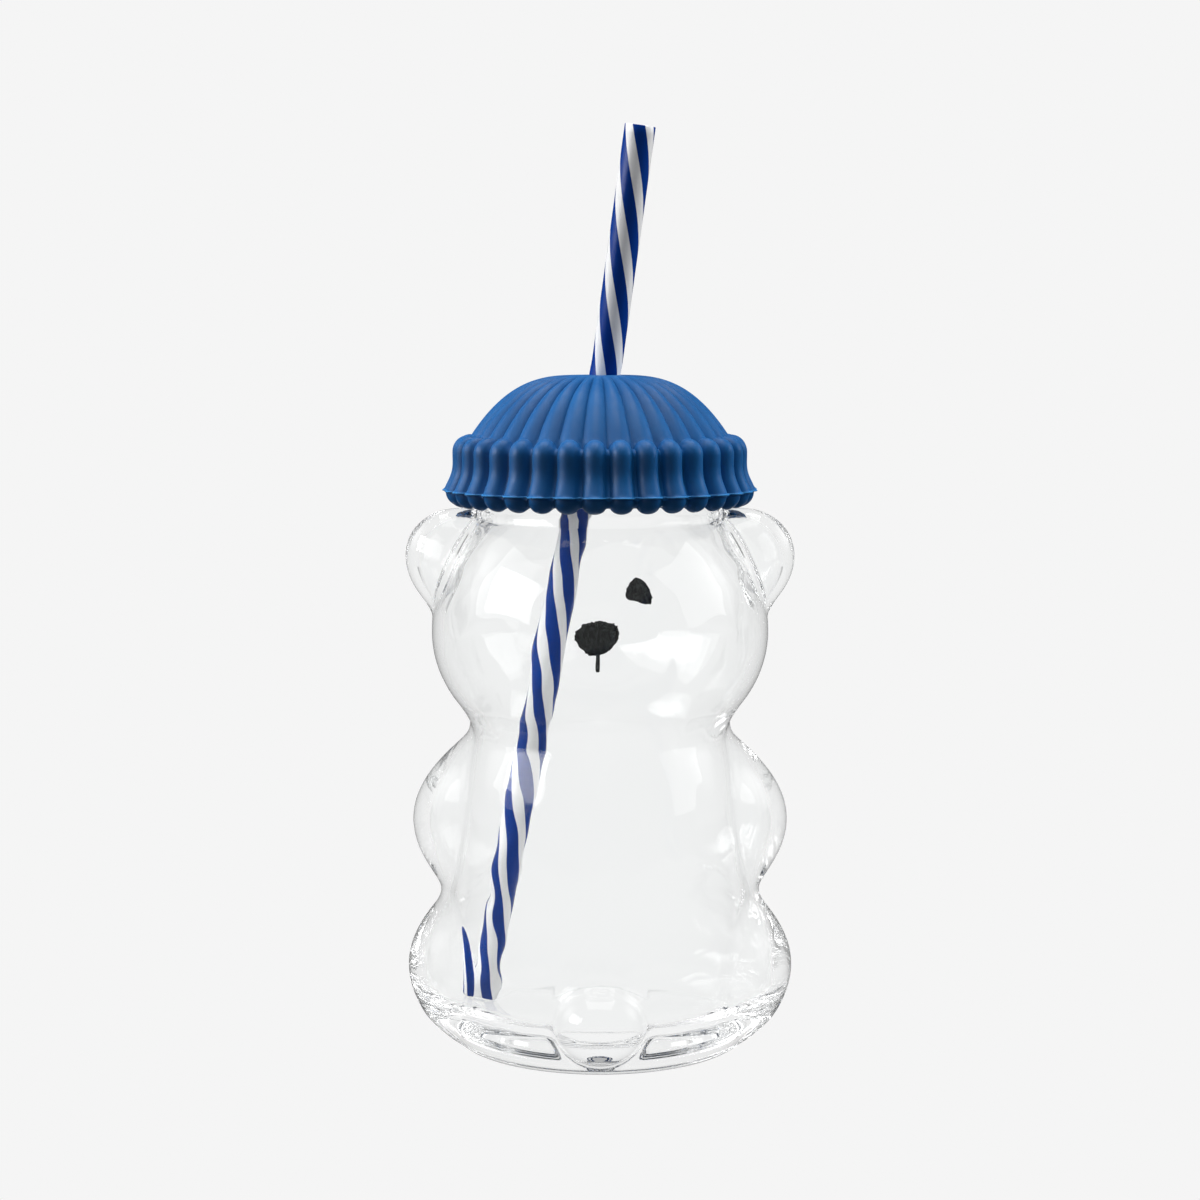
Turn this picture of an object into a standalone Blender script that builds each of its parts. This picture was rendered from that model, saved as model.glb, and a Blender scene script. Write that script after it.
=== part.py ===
"""Bear glass: a hollow glass tumbler blown as a sitting teddy bear, with a ribbed hat-shaped lid
of soft rubber and a striped straw through the lid.

Metres, +Z up. The origin is the middle of the flat foot. The tail is at -Y, and the face at +Y.
Every height is counted from the foot. A lobe is a swelling of the glass: an ear, an arm, a leg,
the muzzle or the tail. It is blown in the wall, so the inside follows it.
"""
import bpy
import bmesh
from math import acos, atan2, ceil, cos, hypot, pi, radians, sin, sqrt
from mathutils import Matrix, Vector
from mathutils.bvhtree import BVHTree

# Gaps between pieces
FIT_GAP = 0.00035
PRINT_GAP = 0.0003
EAR_TO_HEM_GAP = 0.0006
CUT_OVERRUN = 0.004

# Glass body, without its lobes
HIP_RADIUS = 0.0408
HIP_HEIGHT = 0.020
TORSO_RADIUS = 0.0397
TORSO_HEIGHT = 0.048
TORSO_REACH = 0.0625
HEAD_RADIUS = 0.0440
HEAD_HEIGHT = 0.1095
CHIN_REACH = 0.0348
CHIN_BLEND = 0.0085
FOOT_ROUND = 0.0080

# Mouth of the glass, hidden under the lid
MOUTH_RADIUS = 0.0325
MOUTH_WALL = 0.0026
MOUTH_LENGTH = 0.0165

# Thickness of the glass
SIDE_WALL = 0.0024
BASE_THICKNESS = 0.0090
FLOOR_ROUND = 0.0080

# Rounding where a lobe meets the body or another lobe
LOBE_BLEND = 0.0045

# Ears, with their middle measured along the head from its widest level
EAR_LIFT = 0.0207
EAR_RISE = 0.0116
EAR_HALF_HEIGHT = 0.0146
EAR_HALF_DEPTH = 0.0110

# Arms
ARM_HEIGHT = 0.0610
ARM_RISE = 0.0114
ARM_HALF_HEIGHT = 0.0234
ARM_HALF_WIDTH = 0.0218
ARM_TURN = radians(12)

# Legs
LEG_HEIGHT = 0.0200
LEG_RISE = 0.0111
LEG_HALF_HEIGHT = 0.0214
LEG_HALF_WIDTH = 0.0380
LEG_TURN = radians(24.5)

# Muzzle, with its middle below the head's widest level
MUZZLE_DROP = 0.0100
MUZZLE_RISE = 0.0056
MUZZLE_HALF_HEIGHT = 0.0112
MUZZLE_HALF_WIDTH = 0.0155

# Tail
TAIL_HEIGHT = 0.0142
TAIL_RISE = 0.0095
TAIL_HALF_HEIGHT = 0.0098
TAIL_HALF_WIDTH = 0.0114

# Enamel prints of the face, as seen from the front; the nose sits above the muzzle's middle
PRINT_THICKNESS = 0.0003
EYE_SPACING = 0.0212
EYE_LIFT = 0.0071
EYE_HALF_WIDTH = 0.0039
EYE_HALF_HEIGHT = 0.0032
NOSE_LIFT = 0.0026
NOSE_HALF_WIDTH = 0.0059
NOSE_HALF_HEIGHT = 0.0049
MOUTH_LINE_HALF_WIDTH = 0.00055
MOUTH_LINE_DROP = 0.0047

# Lid
RIB_COUNT = 34
RIB_TURN = radians(-2.1)
CROWN_HEIGHT = 0.0155
CROWN_RADIUS = 0.0342
CROWN_FLAT_RADIUS = 0.0060
CROWN_WALL = 0.0030
CAP_CREASE = 0.0007
CROWN_GROOVE = 0.0012
CUFF_CAP_ROUND = 0.0042
CUFF_FLARE = 0.0023
CUFF_HEM_ROUND = 0.0042
CUFF_GROOVE = 0.0025
HEM_CHAMFER = 0.0060
HEM_OPENING = 0.0022
HEM_LIFT = 0.0014
PLUG_DEPTH = 0.0070
PLUG_WALL = 0.0022
SEAT_TO_CROWN = 0.0049

# Straw
STRAW_RADIUS = 0.0040
STRAW_WALL = 0.0006
STRAW_TOP_LENGTH = 0.0603
STRAW_BEND_LIFT = 0.0022
STRAW_BEND_RADIUS = 0.0350
STRAW_HOLE_SHIFT = 0.0012
STRAW_LEAN_SHARES = (0.2013, -0.052)
STRAW_TOP_LEAN_SHARES = (0.140, -0.052)

# Shares and counts that set how softly and how finely the shapes are made
ARM_POWER = 2
ARM_EDGE_SHARE = 1.15
LEG_POWER = 3
LEG_EDGE_SHARE = 1.1
TAIL_EDGE_SHARE = 0.6
TAIL_HOLLOW_SHARE = 0.55
MUZZLE_HOLLOW_SHARE = 0.9
CROWN_CURVE = 2.7
FLARE_CURVE = 1.7
CROWN_FADE_SHARES = (0.05, 0.45)
CROWN_SOFT_SHARE = 0.5
CUFF_SOFT_SHARE = 0.85
NOSE_TAPER_SHARE = 0.22
EYE_TAPER_SHARE = 0.16
GLASS_STEPS = 56
GLASS_CROWDING = 0.125
BODY_ROW_SPACING = 0.0055
TAIL_ROW_SPACING = 0.0030
DOME_ROW_SPACING = 0.0029
ROUND_STEPS = 3
RIM_STEPS = 4
EAR_TOP_STEPS = 40
STEPS_PER_RIB = 4
CROWN_STEPS = 6
CEILING_STEPS = 4
CAP_TURNS = (radians(80), radians(50), radians(22), 0)
FLARE_ROW_SHARES = (0.45, 0.8, 1)
HEM_TURNS = (radians(35), radians(65), radians(90))
HEM_GROOVE_SHARES = (0.9, 0.75, 0.65)
STRAW_STEPS = 20
BEND_ROW_SHARES = (0.33, 0.67, 1)
PRINT_STEPS = 20
PRINT_ROW_SHARES = (0.25, 0.5, 0.75, 1)
SHARP_ANGLE = radians(40)

# Places worked out from the sizes above
MOUTH_FOOT_HEIGHT = HEAD_HEIGHT + sqrt(HEAD_RADIUS ** 2 - MOUTH_RADIUS ** 2)
RIM_HEIGHT = MOUTH_FOOT_HEIGHT + MOUTH_LENGTH
MOUTH_BORE = MOUTH_RADIUS - MOUTH_WALL
TAIL_END_HEIGHT = TAIL_HEIGHT + TAIL_HALF_HEIGHT
MUZZLE_HEIGHT = HEAD_HEIGHT - MUZZLE_DROP
NOSE_HEIGHT = MUZZLE_HEIGHT + NOSE_LIFT
SEAT_HEIGHT = RIM_HEIGHT + FIT_GAP
CROWN_BASE_HEIGHT = SEAT_HEIGHT + SEAT_TO_CROWN
LID_TOP = CROWN_BASE_HEIGHT + CROWN_HEIGHT
HOLE_RADIUS = STRAW_RADIUS + FIT_GAP
HOLE_MIDDLE = Vector((STRAW_HOLE_SHIFT, 0, LID_TOP))

LEAN_DOWN = Vector((*STRAW_LEAN_SHARES, 1)).normalized()
LEAN_UP = Vector((*STRAW_TOP_LEAN_SHARES, 1)).normalized()


def clear_scene():
    for item in list(bpy.data.objects):
        bpy.data.objects.remove(item)


def plain_material(name, colour, roughness, see_through=0):
    """Principled material with one colour."""
    made = bpy.data.materials.new(name)
    made.use_nodes = True
    shader = made.node_tree.nodes["Principled BSDF"]
    shader.inputs["Base Color"].default_value = (*colour, 1)
    shader.inputs["Roughness"].default_value = roughness
    shader.inputs["Metallic"].default_value = 0
    shader.inputs["Transmission Weight"].default_value = see_through
    made.diffuse_color = (*colour, 1)
    return made


def soft_max(first, second, blend):
    """Larger of two lengths, rounded over where they are nearly equal."""
    overlap = max(blend - abs(first - second), 0) / blend
    return max(first, second) + blend * overlap ** 2 / 4


def ease(share):
    """Smooth step from 0 to 1."""
    kept = min(max(share, 0), 1)
    return kept * kept * (3 - 2 * kept)


def steps_between(low, high, spacing):
    """Evenly spaced values from low to high, both included."""
    count = max(ceil(abs(high - low) / spacing), 1)
    return [low + (high - low) * step / count for step in range(count + 1)]


def ellipse_radius(radius, reach, away):
    share = min(abs(away) / reach, 1)
    return radius * sqrt(1 - share * share)


def body_radius(height):
    """Radius of the glass up to the head's widest level, without lobes and the foot's round."""
    if height < TORSO_HEIGHT:
        share = ease((TORSO_HEIGHT - height) / (TORSO_HEIGHT - HIP_HEIGHT))
        torso = TORSO_RADIUS + (HIP_RADIUS - TORSO_RADIUS) * share
    else:
        torso = ellipse_radius(TORSO_RADIUS, TORSO_REACH, height - TORSO_HEIGHT)
    head = ellipse_radius(HEAD_RADIUS, CHIN_REACH, height - HEAD_HEIGHT)
    return soft_max(torso, head, CHIN_BLEND)


class Lobe:
    """A swelling of the glass with an oval outline.

    Its middle is at an azimuth and at a run, which is the height up to the head's widest level
    and goes on along the head's dome above it.
    """

    def __init__(self, azimuth, run, rise, half_width, half_height, power=2, edge=1, hollow=1):
        self.azimuth = azimuth
        self.run = run
        self.rise = rise
        self.half_angle = half_width / body_radius(min(run, HEAD_HEIGHT))
        self.half_height = half_height
        self.power = power
        self.edge = edge
        self.hollow = hollow

    def height_at(self, azimuth, run):
        """Height over the plain body, and below it outside the oval."""
        turn = (azimuth - self.azimuth + pi) % (2 * pi) - pi
        across = abs(turn) / self.half_angle
        along = abs(run - self.run) / self.half_height
        left = 1 - across ** self.power - along ** 2
        if left <= 0:
            return self.rise * left
        return self.rise * left ** self.edge


def bear_lobes():
    """Ears, arms, legs, muzzle and tail."""
    lobes = [
        Lobe(pi / 2, MUZZLE_HEIGHT, MUZZLE_RISE, MUZZLE_HALF_WIDTH, MUZZLE_HALF_HEIGHT,
             hollow=MUZZLE_HOLLOW_SHARE),
        Lobe(-pi / 2, TAIL_HEIGHT, TAIL_RISE, TAIL_HALF_WIDTH, TAIL_HALF_HEIGHT,
             edge=TAIL_EDGE_SHARE, hollow=TAIL_HOLLOW_SHARE),
    ]
    for side in (0, pi):
        forward = 1 if side == 0 else -1
        lobes.append(Lobe(side, HEAD_HEIGHT + EAR_LIFT, EAR_RISE, EAR_HALF_DEPTH, EAR_HALF_HEIGHT))
        lobes.append(Lobe(side + forward * ARM_TURN, ARM_HEIGHT, ARM_RISE, ARM_HALF_WIDTH,
                          ARM_HALF_HEIGHT, power=ARM_POWER, edge=ARM_EDGE_SHARE))
        lobes.append(Lobe(side + forward * LEG_TURN, LEG_HEIGHT, LEG_RISE, LEG_HALF_WIDTH,
                          LEG_HALF_HEIGHT, power=LEG_POWER, edge=LEG_EDGE_SHARE))
    return lobes


LOBES = bear_lobes()


def swelling(azimuth, run, inside):
    """Height of the lobes over the plain body, rounded where they meet it and each other.

    The inside follows a thick lobe in part.
    """
    height = 0
    for lobe in LOBES:
        rise = lobe.height_at(azimuth, run) * (lobe.hollow if inside else 1)
        height = soft_max(height, rise, LOBE_BLEND)
    return height


def skin_point(azimuth, run, outwards, inside=False):
    """Point of the glass's skin, moved outwards by a length."""
    if run <= HEAD_HEIGHT:
        reach = body_radius(run) + swelling(azimuth, run, inside) + outwards
        return Vector((reach * cos(azimuth), reach * sin(azimuth), run))
    tilt = (run - HEAD_HEIGHT) / HEAD_RADIUS
    reach = HEAD_RADIUS + swelling(azimuth, run, inside) + outwards
    flat = reach * cos(tilt)
    return Vector((flat * cos(azimuth), flat * sin(azimuth), HEAD_HEIGHT + reach * sin(tilt)))


def ring_point(radius, height, azimuth):
    return Vector((radius * cos(azimuth), radius * sin(azimuth), height))


def finish(name, bm, surface):
    """Object with an outward-facing mesh and one material."""
    bmesh.ops.recalc_face_normals(bm, faces=bm.faces)
    mesh = bpy.data.meshes.new(name)
    bm.to_mesh(mesh)
    bm.free()
    made = bpy.data.objects.new(name, mesh)
    bpy.context.scene.collection.objects.link(made)
    mesh.shade_smooth()
    mesh.set_sharp_from_angle(angle=SHARP_ANGLE)
    if surface:
        mesh.materials.append(surface)
    return made


def ringed(rows, steps, place, crowding=0, joined=False):
    """Mesh of one ring per row, each ring drawn out of the one before.

    place(row, azimuth) gives a ring's point. The ends are capped, or joined to each other.
    Crowding draws the points of a ring together at the four quarter turns.
    """
    bm = bmesh.new()
    azimuths = bm.verts.layers.float.new("azimuth")
    bmesh.ops.create_circle(bm, cap_ends=not joined, segments=steps, radius=1)
    for vert in bm.verts:
        even = atan2(vert.co.y, vert.co.x)
        vert[azimuths] = even - crowding * sin(4 * even)
    ring = bm.edges[:]
    first_ring = ring
    for vert in bm.verts:
        vert.co = place(rows[0], vert[azimuths])
    for row in rows[1:]:
        grown = bmesh.ops.extrude_edge_only(bm, edges=ring)["geom"]
        verts = {item for item in grown if isinstance(item, bmesh.types.BMVert)}
        ring = [item for item in grown
                if isinstance(item, bmesh.types.BMEdge) and verts.issuperset(item.verts)]
        for vert in verts:
            vert.co = place(row, vert[azimuths])
    if joined:
        bmesh.ops.bridge_loops(bm, edges=first_ring + ring)
    else:
        bmesh.ops.edgeloop_fill(bm, edges=ring)
    return bm


def bear_jar():
    """The glass: foot, body, head and mouth outside, then mouth, head, body and floor inside.

    A row is its run, how far it is set in, and whether it is inside. A row of the mouth is
    a plain ring, with its radius in place of how far it is set in, and None in place of inside.
    """
    rows = []
    for step in range(ROUND_STEPS):
        turn = pi / 2 * step / ROUND_STEPS
        rows.append((FOOT_ROUND * (1 - cos(turn)), FOOT_ROUND * (1 - sin(turn)), False))
    for run in steps_between(FOOT_ROUND, TAIL_END_HEIGHT, TAIL_ROW_SPACING)[:-1]:
        rows.append((run, 0, False))
    for run in steps_between(TAIL_END_HEIGHT, HEAD_HEIGHT, BODY_ROW_SPACING):
        rows.append((run, 0, False))
    dome_run = HEAD_RADIUS * acos(MOUTH_RADIUS / HEAD_RADIUS)
    for run in steps_between(0, dome_run, DOME_ROW_SPACING)[1:]:
        rows.append((HEAD_HEIGHT + run, 0, False))
    mouth_foot = max(ear_top(), MOUTH_FOOT_HEIGHT)
    rim_round = MOUTH_WALL / 2
    rows.append((mouth_foot, MOUTH_RADIUS, None))
    for step in range(RIM_STEPS + 1):
        turn = pi * step / RIM_STEPS
        rows.append((RIM_HEIGHT - rim_round * (1 - sin(turn)),
                     MOUTH_RADIUS - rim_round * (1 - cos(turn)), None))
    rows.append((mouth_foot - rim_round, MOUTH_BORE, None))
    inner_radius = HEAD_RADIUS - SIDE_WALL
    inner_run = HEAD_RADIUS * acos(MOUTH_BORE / inner_radius)
    for run in steps_between(inner_run, 0, DOME_ROW_SPACING):
        rows.append((HEAD_HEIGHT + run, SIDE_WALL, True))
    floor_edge = BASE_THICKNESS + FLOOR_ROUND
    for run in steps_between(HEAD_HEIGHT, floor_edge, BODY_ROW_SPACING)[1:]:
        rows.append((run, SIDE_WALL, True))
    for step in range(1, ROUND_STEPS + 1):
        turn = pi / 2 * step / ROUND_STEPS
        rows.append((floor_edge - FLOOR_ROUND * sin(turn),
                     SIDE_WALL + FLOOR_ROUND * (1 - cos(turn)), True))

    def place(row, azimuth):
        run, inset, inside = row
        if inside is None:
            return ring_point(inset, run, azimuth)
        return skin_point(azimuth, run, -inset, inside)

    glass = plain_material("clear_glass", (0.93, 0.97, 0.96), 0.02, see_through=1)
    return finish("bear_jar", ringed(rows, GLASS_STEPS, place, GLASS_CROWDING), glass)


def enamel_print(name, glass, side, height, outline, surface):
    """Thin print on the front of the glass, whose shape it follows.

    Its middle is at a place across and a height. outline(turn) gives across and up from there.
    """
    rows = [(share, 1) for share in PRINT_ROW_SHARES]
    rows += [(share, 0) for share in reversed(PRINT_ROW_SHARES)]

    def place(row, turn):
        share, layer = row
        across, up = outline(turn)
        front = Vector((side - share * across, 2 * HEAD_RADIUS, height + share * up))
        hit = glass.ray_cast(front, Vector((0, -1, 0)))[0]
        return hit + Vector((0, PRINT_GAP + layer * PRINT_THICKNESS, 0))

    return finish(name, ringed(rows, PRINT_STEPS, place), surface)


def face_prints(jar):
    """Eyes, nose and mouth line, printed on the face in dark enamel."""
    enamel = plain_material("dark_enamel", (0.02, 0.022, 0.024), 0.45)
    glass = BVHTree.FromObject(jar, bpy.context.evaluated_depsgraph_get())

    def nose_outline(turn):
        width = NOSE_HALF_WIDTH * (1 + NOSE_TAPER_SHARE * sin(turn))
        return width * cos(turn), NOSE_HALF_HEIGHT * sin(turn)

    def eye_outline(side):
        def outline(turn):
            slant = EYE_TAPER_SHARE * side * EYE_HALF_WIDTH * sin(turn)
            return EYE_HALF_WIDTH * cos(turn) + slant, EYE_HALF_HEIGHT * sin(turn)
        return outline

    def line_outline(turn):
        share = sqrt(abs(sin(turn))) * (1 if sin(turn) > 0 else -1)
        return MOUTH_LINE_HALF_WIDTH * cos(turn), MOUTH_LINE_DROP / 2 * share

    eye_height = HEAD_HEIGHT + EYE_LIFT
    line_height = NOSE_HEIGHT - NOSE_HALF_HEIGHT - PRINT_GAP - MOUTH_LINE_DROP / 2
    for name, side in (("left_eye", -1), ("right_eye", 1)):
        enamel_print(name, glass, side * EYE_SPACING / 2, eye_height, eye_outline(side), enamel)
    enamel_print("nose", glass, 0, NOSE_HEIGHT, nose_outline, enamel)
    enamel_print("mouth_line", glass, 0, line_height, line_outline, enamel)


def ear_top():
    """Highest point of an ear."""
    ear = HEAD_HEIGHT + EAR_LIFT
    runs = steps_between(ear - EAR_HALF_HEIGHT, ear + EAR_HALF_HEIGHT, EAR_HALF_HEIGHT / EAR_TOP_STEPS)
    return max(skin_point(0, run, 0).z for run in runs)


def hem_height():
    """Lowest level of the lid, just clear of the ears and of the dome below its sleeve."""
    dome = HEAD_HEIGHT + sqrt(HEAD_RADIUS ** 2 - (MOUTH_RADIUS + FIT_GAP) ** 2)
    return max(ear_top(), dome) + EAR_TO_HEM_GAP


def crown_height_at(share):
    """How far the crown's outside lies below its top, from its flat at 0 to its base at 1."""
    return CROWN_HEIGHT * share ** CROWN_CURVE


def lid_outside(hem):
    """Lid's outside at the top of a rib, as radius, height and groove depth, from top to hem."""
    fade_low, fade_high = CROWN_FADE_SHARES
    rows = []
    for step in range(CROWN_STEPS + 1):
        share = step / CROWN_STEPS
        groove = CROWN_GROOVE * ease((share - fade_low) / (fade_high - fade_low))
        radius = CROWN_FLAT_RADIUS + (CROWN_RADIUS - CAP_CREASE - CROWN_FLAT_RADIUS) * share
        rows.append((radius, LID_TOP - crown_height_at(share), groove))
    cap_height = CROWN_BASE_HEIGHT - CUFF_CAP_ROUND
    for turn in CAP_TURNS:
        rows.append((CROWN_RADIUS + CUFF_CAP_ROUND * cos(turn),
                     cap_height + CUFF_CAP_ROUND * sin(turn), CUFF_GROOVE))
    parting = hem + CUFF_HEM_ROUND
    cap_reach = CROWN_RADIUS + CUFF_CAP_ROUND
    for share in FLARE_ROW_SHARES:
        rows.append((cap_reach + CUFF_FLARE * share ** FLARE_CURVE,
                     cap_height + (parting - cap_height) * share, CUFF_GROOVE))
    hem_middle = cap_reach + CUFF_FLARE - CUFF_HEM_ROUND
    for turn, groove_share in zip(HEM_TURNS, HEM_GROOVE_SHARES):
        rows.append((hem_middle + CUFF_HEM_ROUND * cos(turn),
                     parting - CUFF_HEM_ROUND * sin(turn), CUFF_GROOVE * groove_share))
    return rows


def lid_inside(hem):
    """Lid's inside from the hem up: sleeve over the mouth, seat, plug that hangs in, hollow crown."""
    sleeve = MOUTH_RADIUS + FIT_GAP
    plug = MOUTH_BORE - FIT_GAP
    plug_end = SEAT_HEIGHT - PLUG_DEPTH
    hollow = plug - PLUG_WALL
    rows = [
        (sleeve + HEM_OPENING, hem + HEM_LIFT, 0),
        (sleeve, hem + HEM_CHAMFER, 0),
        (sleeve, SEAT_HEIGHT, 0),
        (plug, SEAT_HEIGHT, 0),
        (plug, plug_end, 0),
        (hollow, plug_end, 0),
    ]
    flat = CROWN_FLAT_RADIUS
    span = CROWN_RADIUS - CROWN_WALL - flat
    for radius in steps_between(hollow, flat, (hollow - flat) / CEILING_STEPS):
        drop = crown_height_at((radius - flat) / span)
        rows.append((radius, LID_TOP - CROWN_WALL - drop, 0))
    return rows


def directed_rows(rows):
    """Adds to each row the outward direction of the outline there."""
    made = []
    for index, (radius, height, groove) in enumerate(rows):
        before = rows[max(index - 1, 0)]
        after = rows[min(index + 1, len(rows) - 1)]
        along_r = after[0] - before[0]
        along_z = after[1] - before[1]
        length = hypot(along_r, along_z)
        made.append((radius, height, groove, -along_z / length, along_r / length))
    return made


def beanie_lid():
    """One-piece rubber lid: ribbed crown, fluted cuff with a scalloped hem, and a plug inside."""
    hem = hem_height()

    def place(row, azimuth):
        radius, height, groove, out_r, out_z = row
        rib_share = (azimuth * RIB_COUNT / (2 * pi)) % 1
        creased = 1 - sqrt(1 - (2 * rib_share - 1) ** 2)
        waved = (1 + cos(2 * pi * rib_share)) / 2
        softness = CROWN_SOFT_SHARE if height > CROWN_BASE_HEIGHT else CUFF_SOFT_SHARE
        depth = groove * (creased + (waved - creased) * softness)
        return ring_point(radius - depth * out_r, height - depth * out_z, azimuth + RIB_TURN)

    rubber = plain_material("blue_rubber", (0.012, 0.085, 0.30), 0.55)
    rows = directed_rows(lid_outside(hem)) + directed_rows(lid_inside(hem))
    lid = finish("beanie_lid", ringed(rows, RIB_COUNT * STEPS_PER_RIB, place), rubber)
    hole = straw_hole()
    hole.hide_render = True
    hole.display_type = "WIRE"
    cut = lid.modifiers.new("straw_hole", "BOOLEAN")
    cut.operation = "DIFFERENCE"
    cut.object = hole
    return lid


def straw_hole():
    """Cutter along the straw's lower part."""
    bm = bmesh.new()
    length = 2 * (CROWN_WALL + CUT_OVERRUN)
    bmesh.ops.create_cone(bm, cap_ends=True, segments=STRAW_STEPS, radius1=HOLE_RADIUS,
                          radius2=HOLE_RADIUS, depth=length)
    turn = Vector((0, 0, 1)).rotation_difference(LEAN_DOWN).to_matrix().to_4x4()
    bm.transform(Matrix.Translation(HOLE_MIDDLE) @ turn)
    return finish("hole_cutter", bm, None)


def straw():
    """Straw that leans in the glass, with a slight bend just above the lid."""
    bend_angle = LEAN_DOWN.angle(LEAN_UP)
    bend_length = STRAW_BEND_RADIUS * bend_angle
    end_drop = STRAW_RADIUS * sin(LEAN_DOWN.angle(Vector((0, 0, 1))))
    low_end = BASE_THICKNESS + FIT_GAP + end_drop
    below = (LID_TOP - low_end) / LEAN_DOWN.z
    bend_start = below + STRAW_BEND_LIFT
    stations = [0, bend_start]
    stations += [bend_start + bend_length * share for share in BEND_ROW_SHARES]
    stations.append(bend_start + bend_length + STRAW_TOP_LENGTH)
    bore = STRAW_RADIUS - STRAW_WALL
    rows = [(STRAW_RADIUS, along) for along in stations]
    rows += [(bore, along) for along in reversed(stations)]
    bottom = HOLE_MIDDLE - LEAN_DOWN * below
    across = (LEAN_UP - LEAN_DOWN * LEAN_UP.dot(LEAN_DOWN)).normalized()

    def centre(along):
        """Middle of the straw and its direction at a distance from its lower end."""
        in_bend = min(max(along - bend_start, 0), bend_length)
        turn = in_bend / STRAW_BEND_RADIUS
        heading = LEAN_DOWN * cos(turn) + across * sin(turn)
        middle = bottom + LEAN_DOWN * (min(along, bend_start) + STRAW_BEND_RADIUS * sin(turn))
        middle += across * STRAW_BEND_RADIUS * (1 - cos(turn))
        middle += heading * max(along - bend_start - bend_length, 0)
        return middle, heading

    def place(row, azimuth):
        radius, along = row
        middle, heading = centre(along)
        turn = Vector((0, 0, 1)).rotation_difference(heading)
        return middle + turn @ ring_point(radius, 0, azimuth)

    plastic = plain_material("blue_plastic", (0.01, 0.05, 0.26), 0.25)
    return finish("straw", ringed(rows, STRAW_STEPS, place, joined=True), plastic)


clear_scene()
face_prints(bear_jar())
beanie_lid()
straw()
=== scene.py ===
"""Looks of the bear glass: the clear glass, its enamel face, the ribbed rubber lid and the striped straw.

Metres, +Z up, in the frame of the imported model. The tail is at -Y, the face at +Y.
"""

from math import acos, atan2, ceil, cos, hypot, pi, radians, sin, sqrt

import bmesh
import bpy
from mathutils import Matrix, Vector, noise
from mathutils.bvhtree import BVHTree


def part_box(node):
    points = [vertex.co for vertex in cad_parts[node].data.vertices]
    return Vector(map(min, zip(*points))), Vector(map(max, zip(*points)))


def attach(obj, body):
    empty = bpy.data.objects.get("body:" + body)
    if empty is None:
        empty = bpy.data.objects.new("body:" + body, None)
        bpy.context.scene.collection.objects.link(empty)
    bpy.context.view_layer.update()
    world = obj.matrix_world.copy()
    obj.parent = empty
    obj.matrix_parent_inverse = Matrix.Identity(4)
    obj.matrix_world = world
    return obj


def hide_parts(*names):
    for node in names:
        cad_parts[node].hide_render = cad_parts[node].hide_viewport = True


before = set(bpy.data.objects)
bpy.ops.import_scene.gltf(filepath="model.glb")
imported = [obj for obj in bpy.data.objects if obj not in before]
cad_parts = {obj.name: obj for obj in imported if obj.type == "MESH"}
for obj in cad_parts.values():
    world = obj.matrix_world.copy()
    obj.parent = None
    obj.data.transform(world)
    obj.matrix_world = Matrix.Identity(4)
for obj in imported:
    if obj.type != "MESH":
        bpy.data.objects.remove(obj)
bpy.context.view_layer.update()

# Glass body, without its lobes
HIP_RADIUS = 0.0408
HIP_HEIGHT = 0.020
TORSO_RADIUS = 0.0397
TORSO_HEIGHT = 0.048
TORSO_REACH = 0.0625
HEAD_RADIUS = 0.0440
HEAD_HEIGHT = 0.1095
CHIN_REACH = 0.0348
CHIN_BLEND = 0.0085
FOOT_ROUND = 0.0080
MOUTH_RADIUS = 0.0325
MOUTH_WALL = 0.0026
SIDE_WALL = 0.0024
BASE_THICKNESS = 0.0090
FLOOR_ROUND = 0.0080
LOBE_BLEND = 0.0045
WAVE_HEIGHT = 0.00013
WAVE_LENGTH = 0.0075

# Lobes of the glass. A hollow share says how much of a lobe's rise the hollow follows.
MUZZLE_DROP = 0.0100
MUZZLE_RISE = 0.0056
MUZZLE_HALF_WIDTH = 0.0155
MUZZLE_HALF_HEIGHT = 0.0112
MUZZLE_HOLLOW_SHARE = 0.9
TAIL_HEIGHT = 0.0142
TAIL_RISE = 0.00944
TAIL_HALF_WIDTH = 0.0114
TAIL_HALF_HEIGHT = 0.0098
TAIL_HOLLOW_SHARE = 0.55
EAR_LIFT = 0.0207
EAR_RISE = 0.0116
EAR_HALF_WIDTH = 0.0110
EAR_HALF_HEIGHT = 0.0146
EAR_HOLLOW_SHARE = 0.95
EAR_RUN = 0.034
ARM_TURN = radians(12)
ARM_HEIGHT = 0.0610
ARM_RISE = 0.0114
ARM_HALF_WIDTH = 0.0218
ARM_HALF_HEIGHT = 0.0234
LEG_TURN = radians(24.5)
LEG_HEIGHT = 0.0200
LEG_RISE = 0.0110
LEG_HALF_WIDTH = 0.0380
LEG_HALF_HEIGHT = 0.0214
LIMB_HOLLOW_SHARE = 0.93

# Enamel face, as it lies on the glass, which bends what is seen through it
PRINT_GAP = 0.00004
PRINT_THICKNESS = 0.00022
EYE_SPACING = 0.0212
EYE_LIFT = 0.0071
EYE_RADII = (0.00380, 0.00326, 0.00288, 0.00285, 0.00280, 0.00294, 0.00311, 0.00295, 0.00265, 0.00290,
             0.00325, 0.00365, 0.00305, 0.00250, 0.00234, 0.00245, 0.00300, 0.00420, 0.00600, 0.00520)
NOSE_HEIGHT = 0.1021
NOSE_RADII = (0.00516, 0.00620, 0.00620, 0.00560, 0.00530, 0.00500, 0.00455, 0.00520, 0.00640, 0.00695,
              0.00685, 0.00690, 0.00690, 0.00650, 0.00576, 0.00520, 0.00490, 0.00465, 0.00440, 0.00440)
PRINT_RAGGEDNESS = 0.09
PRINT_RAGGED_LENGTH = 0.0007
PRINT_EDGE_CURVE = 6
MOUTH_LINE_TOP = 0.0046
MOUTH_LINE_HALF_WIDTH = 0.00055
MOUTH_LINE_SIDE = 0.0007
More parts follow.
